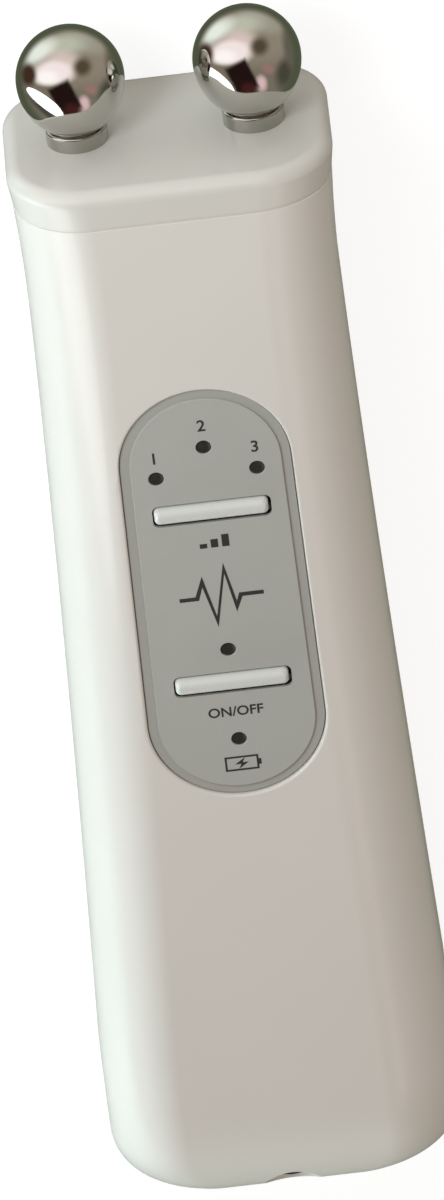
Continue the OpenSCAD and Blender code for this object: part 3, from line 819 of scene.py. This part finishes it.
def light_window(which):
    """Smoked window with a slightly domed top and a flange under the pad."""
    low, high = box_mm(f"{which}_window")
    crown = 0.12
    crown_n = 8
    flange_r, flange_z = LIGHT_R + 0.5, PAD_Z - 1.2
    profile = [(0, low.z), (LIGHT_R, low.z), (LIGHT_R, flange_z), (flange_r, flange_z),
               (flange_r, PAD_Z), (LIGHT_R, PAD_Z)]
    for i in range(crown_n + 1):
        r = LIGHT_R * (1 - i / crown_n)
        profile.append((r, high.z - crown * (r / LIGHT_R) ** 2))
    piece = lathe(f"{which}_window_skin", middle(f"{which}_window"), "z", profile, 64)
    place(piece, "housing", WINDOW, [f"{which}_window"], sharp=50)


for which in LIGHTS:
    light_window(which)


# ---- printed marks -------------------------------------------------------------------------------
INK_T = 0.02            # thickness of the print
INK_SPREAD = 0.035      # how far its letters run past the font's outline
CAPITAL_SHARE = 0.7     # about the height of a capital, as a share of the font's size
NUMERAL_H = 1.7         # height of the numerals 1, 2 and 3
WORD_H = 1.45           # height of the letters under the power button
MARK_DROP = 4.9         # from a button down to the mark under it
PULSE_DROP = 13.6       # from the level button down to the pulse line
BATTERY_DROP = 3.9      # from the charge light down to the battery
PULSE = [(-5.7, 0), (-3.3, 0), (-2.4, 2.6), (-0.9, -3.9), (0.7, 4.4), (1.9, -1.8), (2.6, 0), (5.7, 0)]
PULSE_W = 0.6
BATTERY_W, BATTERY_H, BATTERY_WALL = 4.6, 2.3, 0.28
BOLT = [(0.45, 0.85), (-0.95, -0.12), (-0.1, -0.12), (-0.45, -0.85), (0.95, 0.12), (0.1, 0.12)]


def prism(outline, z):
    """Vertices and faces of a thin plate with the outline given as (x, y) points."""
    n = len(outline)
    vertices = [(x, y, z + h) for h in (0, INK_T) for x, y in outline]
    faces = [list(range(n)), list(range(n, 2 * n))]
    faces += [[i, (i + 1) % n, n + (i + 1) % n, n + i] for i in range(n)]
    return vertices, faces


def stroke(points, width):
    """Outline of a line of even width through points."""
    sharpest = 0.35         # keeps the corner of a sharp turn short
    left, right = [], []
    for i, p in enumerate(points):
        before = (p - points[i - 1]).normalized() if i else None
        after = (points[i + 1] - p).normalized() if i < len(points) - 1 else None
        along = ((before or after) + (after or before)).normalized()
        side = Vector((-along.y, along.x))
        straight = after or before
        reach = width / 2 / max(sharpest, side.dot(Vector((-straight.y, straight.x))))
        left.append(p + side * reach)
        right.append(p - side * reach)
    return left + right[::-1]


def mark(name, outlines, centre):
    """Printed mark on the overlay, made of separate outlines about its centre."""
    vertices, faces = [], []
    for outline in outlines:
        v, f = prism([(centre[0] + p[0], centre[1] + p[1]) for p in outline], OVERLAY_TOP)
        faces += [[len(vertices) + i for i in face] for face in f]
        vertices += v
    place(solid(name, vertices, faces), "housing", INK)


def bar(x0, y0, x1, y1):
    """Outline of a rectangle between two opposite corners."""
    return [Vector(p) for p in ((x0, y0), (x1, y0), (x1, y1), (x0, y1))]


def numeral(text, centre, height):
    """Printed numeral or plain word on the overlay."""
    curve = bpy.data.curves.new(f"numeral_{text}", "FONT")
    curve.body = text
    curve.size = height / CAPITAL_SHARE
    curve.align_x = "CENTER"
    curve.align_y = "CENTER"
    curve.offset = INK_SPREAD
    curve.extrude = INK_T / 2
    curve.resolution_u = 6
    word = bpy.data.objects.new(f"word_{text}", curve)
    bpy.context.scene.collection.objects.link(word)
    bpy.context.view_layer.update()
    mesh = bpy.data.meshes.new_from_object(word.evaluated_get(bpy.context.evaluated_depsgraph_get()))
    bpy.data.objects.remove(word)
    piece = bpy.data.objects.new(f"mark_{text.replace('/', '_').lower()}", mesh)
    bpy.context.scene.collection.objects.link(piece)
    work = bmesh.new()
    work.from_mesh(mesh)
    bmesh.ops.remove_doubles(work, verts=work.verts[:], dist=0.001)
    work.to_mesh(mesh)
    work.free()
    mesh.transform(Matrix.Translation((centre[0], centre[1], OVERLAY_TOP + INK_T / 2)))
    place(piece, "housing", INK)


def level_steps(centre):
    """Three bars that grow."""
    bars = [bar(-2.1 + 1.5 * i, -0.9, -1.1 + 1.5 * i, -0.2 + 0.6 * i) for i in range(3)]
    mark("mark_level_steps", bars, centre)


def battery(centre):
    """Battery with a bolt in it."""
    w, h, t = BATTERY_W / 2, BATTERY_H / 2, BATTERY_WALL
    mark("mark_battery", [
        bar(-w, -h, w, -h + t),
        bar(-w, h - t, w, h),
        bar(-w, -h + t, -w + t, h - t),
        bar(w - t, -h + t, w, h - t),
        bar(w, -0.45, w + 0.35, 0.45),
        [Vector(p) for p in BOLT],
    ], centre)


def panel_marks():
    """All that is printed on the overlay."""
    for which, text, rise in (("low", "1", 3.1), ("middle", "2", 3.3), ("high", "3", 3.3)):
        light = middle(f"{which}_window")
        numeral(text, (light.x, light.y + rise), NUMERAL_H)
    power = middle("power_button")
    numeral("ON/OFF", (power.x, power.y - MARK_DROP), WORD_H)
    level_key = middle("level_button")
    level_steps((level_key.x, level_key.y - MARK_DROP))
    pulse_at = (level_key.x, level_key.y - PULSE_DROP)
    mark("mark_pulse", [stroke([Vector(p) for p in PULSE], PULSE_W)], pulse_at)
    charge = middle("charge_window")
    battery((charge.x, charge.y - BATTERY_DROP))


panel_marks()


# ---- finishes of the CAD pieces that stay --------------------------------------------------------
slots = {part["node"]: part["material_slot"] for part in frame["record"]["subparts"]}
for name, node in frame["nodes"].items():
    finish = INNER_FINISH.get(slots[name])
    if finish:
        node.data.materials.clear()
        node.data.materials.append(finish)


# ---- floor, light and world ----------------------------------------------------------------------
FLOOR_SIZE = 12         # in metres


def pale_floor():
    """Floor that keeps the object's shadow and looks white to the camera."""
    floor_mesh = bpy.data.meshes.new("floor")
    half = FLOOR_SIZE / 2
    corners = [(-half, -half, 0), (half, -half, 0), (half, half, 0), (-half, half, 0)]
    floor_mesh.from_pydata(corners, [], [(0, 1, 2, 3)])
    floor = bpy.data.objects.new("floor", floor_mesh)
    bpy.context.scene.collection.objects.link(floor)
    floor_material, n = new_material("pale_floor")
    grain = n.noise(3, 3)
    path = n.add("ShaderNodeLightPath")
    bounced = n.math("MAXIMUM", path.outputs["Is Glossy Ray"], path.outputs["Is Transmission Ray"])
    seen_directly = n.math("MAXIMUM", path.outputs["Is Camera Ray"], bounced)
    plain, shown, glow = (n.add(f"ShaderNode{kind}") for kind in ("BsdfDiffuse", "BsdfDiffuse", "Emission"))
    n.put(n.mix(grain, (0.89, 0.89, 0.89, 1), (0.92, 0.92, 0.92, 1)), plain.inputs["Color"])
    n.put(n.mix(grain, (0.235, 0.235, 0.235, 1), (0.245, 0.245, 0.245, 1)), shown.inputs["Color"])
    glow.inputs["Strength"].default_value = 0.85
    both = n.add("ShaderNodeAddShader")
    n.put(shown.outputs[0], both.inputs[0])
    n.put(glow.outputs[0], both.inputs[1])
    choice = n.add("ShaderNodeMixShader")
    n.put(seen_directly, choice.inputs[0])
    n.put(plain.outputs[0], choice.inputs[1])
    n.put(both.outputs[0], choice.inputs[2])
    n.put(choice.outputs[0], n.add("ShaderNodeOutputMaterial").inputs["Surface"])
    floor_mesh.materials.append(floor_material)
    floor.visible_glossy = False


pale_floor()


def lamp(name, where, size, share, colour):
    """Soft lamp, its size long and high, that lights a surface facing it to about share of white."""
    light = bpy.data.lights.new(name, "AREA")
    light.shape = "RECTANGLE"
    light.size, light.size_y = size
    distance = Vector(where).length
    light.energy = math.pi ** 2 * share * distance ** 2
    light.color = colour
    holder = bpy.data.objects.new(name, light)
    holder.location = where
    holder.rotation_euler = Vector(where).to_track_quat("Z", "Y").to_euler()
    holder.visible_glossy = False
    holder.visible_camera = False
    bpy.context.scene.collection.objects.link(holder)


lamp("window", (-0.45, -0.10, 0.03), (0.6, 0.06), 0.62, (0.755, 0.965, 1.04))
lamp("low", (-0.26, -0.38, 0.06), (0.3, 0.1), 0.34, (0.80, 0.98, 1.02))
lamp("near", (-0.14, 0.25, 0.27), (0.13, 0.13), 0.40, (0.90, 0.975, 1.02))

# The room is drawn as it shows in a polished ball seen from the camera's place: x to the right and y up,
# as shares of the ball's radius. It stays where it is when the view moves.
WARM_DARK = (0.17, 0.15, 0.11)
ROOM = [
    # middle, half sizes, turn in degrees, softness, colour that shows in the ball
    ((0.05, 0.36), (1.00, 0.52), 0, 0.45, (0.26, 0.22, 0.17)),
    ((0.25, 0.65), (0.36, 0.16), -22, 0.55, (0.33, 0.315, 0.25)),
    ((-0.15, 0.57), (0.38, 0.19), 8, 0.60, (0.49, 0.50, 0.40)),
    ((-0.56, 0.47), (0.30, 0.15), 34, 0.70, (0.80, 0.84, 0.75)),
    ((-0.14, 0.28), (0.30, 0.18), 0, 0.60, (0.66, 0.54, 0.48)),
    ((-0.29, 0.08), (0.36, 0.21), 0, 0.35, (0.90, 0.79, 0.76)),
    ((-0.42, 0.00), (0.20, 0.12), 0, 0.60, (1.00, 0.94, 0.91)),
    ((0.23, 0.19), (0.15, 0.16), -20, 0.60, (0.08, 0.06, 0.035)),
    ((-0.76, 0.07), (0.14, 0.20), 10, 0.45, (0.05, 0.025, 0.015)),
    ((0.70, -0.26), (0.15, 0.26), -15, 0.60, (0.06, 0.055, 0.04)),
    ((0.80, 0.22), (0.14, 0.42), 10, 0.55, (0.11, 0.105, 0.075)),
    ((-0.10, -0.84), (0.85, 0.20), 0, 0.35, (0.20, 0.185, 0.14)),
    ((0.39, -0.22), (0.10, 0.08), -20, 0.70, (0.30, 0.17, 0.15)),
    ((0.27, -0.47), (0.09, 0.12), 10, 0.60, (0.66, 0.46, 0.46)),
    ((-0.50, -0.53), (0.36, 0.07), -40, 0.50, (0.06, 0.06, 0.045)),
    ((-0.09, -0.38), (0.28, 0.21), -62, 0.20, (0.014, 0.006, 0.005)),
    ((0.04, -0.60), (0.14, 0.12), 0, 0.60, (0.05, 0.012, 0.012)),
]
BOX_SHAPED = {(-0.09, -0.38)}
RIM = (0.065, 0.075, 0.045)
RIM_FROM, RIM_TO = 0.79, 0.94
AMBIENT_LEFT = (0.52, 0.50, 0.475)
AMBIENT_RIGHT = (0.485, 0.43, 0.385)

# Bright card close by, which shows in each ball as a slanted streak.
STREAK_MIDDLE = Vector((-0.475, -0.41))
STREAK_HALF = (0.39, 0.088)
STREAK_TURN = math.radians(-39.4)
STREAK_FAR = 130        # distance from the balls


def mirrored(point):
    """Direction in which a ball shows what is seen at point."""
    normal = across * point.x + up * point.y + to_camera * math.sqrt(1 - point.length_squared)
    return 2 * normal.dot(to_camera) * normal - to_camera


def bright_card():
    """The card as a flat shape whose mirror image in a ball is the streak."""
    between = (middle("electrode_ball_left") + middle("electrode_ball_right")) / 2
    ahead = mirrored(STREAK_MIDDLE)
    outline = []
    card_n = 40
    for i in range(card_n):
        a = 2 * math.pi * i / card_n
        along, over = STREAK_HALF[0] * math.cos(a), STREAK_HALF[1] * math.sin(a)
        point = Vector((along * math.cos(STREAK_TURN) - over * math.sin(STREAK_TURN),
                        along * math.sin(STREAK_TURN) + over * math.cos(STREAK_TURN)))
        ray = mirrored(STREAK_MIDDLE + point)
        outline.append((between + ray * (STREAK_FAR / ray.dot(ahead))) * MM)
    card_mesh = bpy.data.meshes.new("card")
    card_mesh.from_pydata(outline, [], [list(range(len(outline)))])
    card = bpy.data.objects.new("card", card_mesh)
    bpy.context.scene.collection.objects.link(card)
    card_material, n = new_material("card_glow")
    card_glow = n.add("ShaderNodeEmission")
    n.put(n.mix(n.noise(20, 2), (1.0, 1.0, 0.98, 1), (0.92, 0.93, 0.92, 1)), card_glow.inputs["Color"])
    card_glow.inputs["Strength"].default_value = 3.2
    n.put(card_glow.outputs[0], n.add("ShaderNodeOutputMaterial").inputs["Surface"])
    card_mesh.materials.append(card_material)
    for kind in ("camera", "diffuse", "shadow", "transmission"):
        setattr(card, f"visible_{kind}", False)


bright_card()


def studio_world():
    """The room for reflections, plain ambient light for the rest, and white for the camera."""
    world = bpy.data.worlds.new("studio")
    bpy.context.scene.world = world
    world.use_nodes = True
    n = Nodes(world.node_tree)
    way = n.add("ShaderNodeTexCoord").outputs["Generated"]
    halfway = n.add("ShaderNodeVectorMath", operation="ADD")
    n.put(way, halfway.inputs[0])
    halfway.inputs[1].default_value = to_camera
    facing = n.add("ShaderNodeVectorMath", operation="NORMALIZE")
    n.put(halfway.outputs[0], facing.inputs[0])
    ball_x = n.dot(facing.outputs[0], tuple(across))
    ball_y = n.dot(facing.outputs[0], tuple(up))
    room = rgba(WARM_DARK)
    for (cx, cy), (half_u, half_v), angle, soft, colour in ROOM:
        a = math.radians(angle)
        dx, dy = n.math("SUBTRACT", ball_x, cx), n.math("SUBTRACT", ball_y, cy)
        u = n.total(dx, math.cos(a) / half_u, dy, math.sin(a) / half_u)
        v = n.total(dx, -math.sin(a) / half_v, dy, math.cos(a) / half_v)
        if (cx, cy) in BOX_SHAPED:
            far = n.math("MAXIMUM", n.math("ABSOLUTE", u), n.math("ABSOLUTE", v))
        else:
            far = n.math("SQRT", n.total(u, u, v, v))
        room = n.mix(n.spread(far, 1 - soft, 1 + soft, 1.0, 0.0), room, rgba(colour))
    from_middle = n.math("SQRT", n.total(ball_x, ball_x, ball_y, ball_y))
    room = n.mix(n.spread(from_middle, RIM_FROM, RIM_TO), room, rgba(RIM))
    # the metal takes a part of what it shows, so the room is that much brighter
    brighter = n.add("ShaderNodeVectorMath", operation="DIVIDE")
    n.put(room, brighter.inputs[0])
    brighter.inputs[1].default_value = CHROME_COLOUR
    room = brighter.outputs[0]
    path = n.add("ShaderNodeLightPath")
    ambient = n.mix(n.spread(n.dot(way, tuple(across)), -0.8, 0.8), rgba(AMBIENT_LEFT), rgba(AMBIENT_RIGHT))
    seen = n.mix(path.outputs["Is Glossy Ray"], ambient, room)
    seen = n.mix(path.outputs["Is Camera Ray"], seen, (1, 1, 1, 1))
    background = n.add("ShaderNodeBackground")
    n.put(seen, background.inputs["Color"])
    n.put(background.outputs[0], n.add("ShaderNodeOutputWorld").inputs["Surface"])


studio_world()
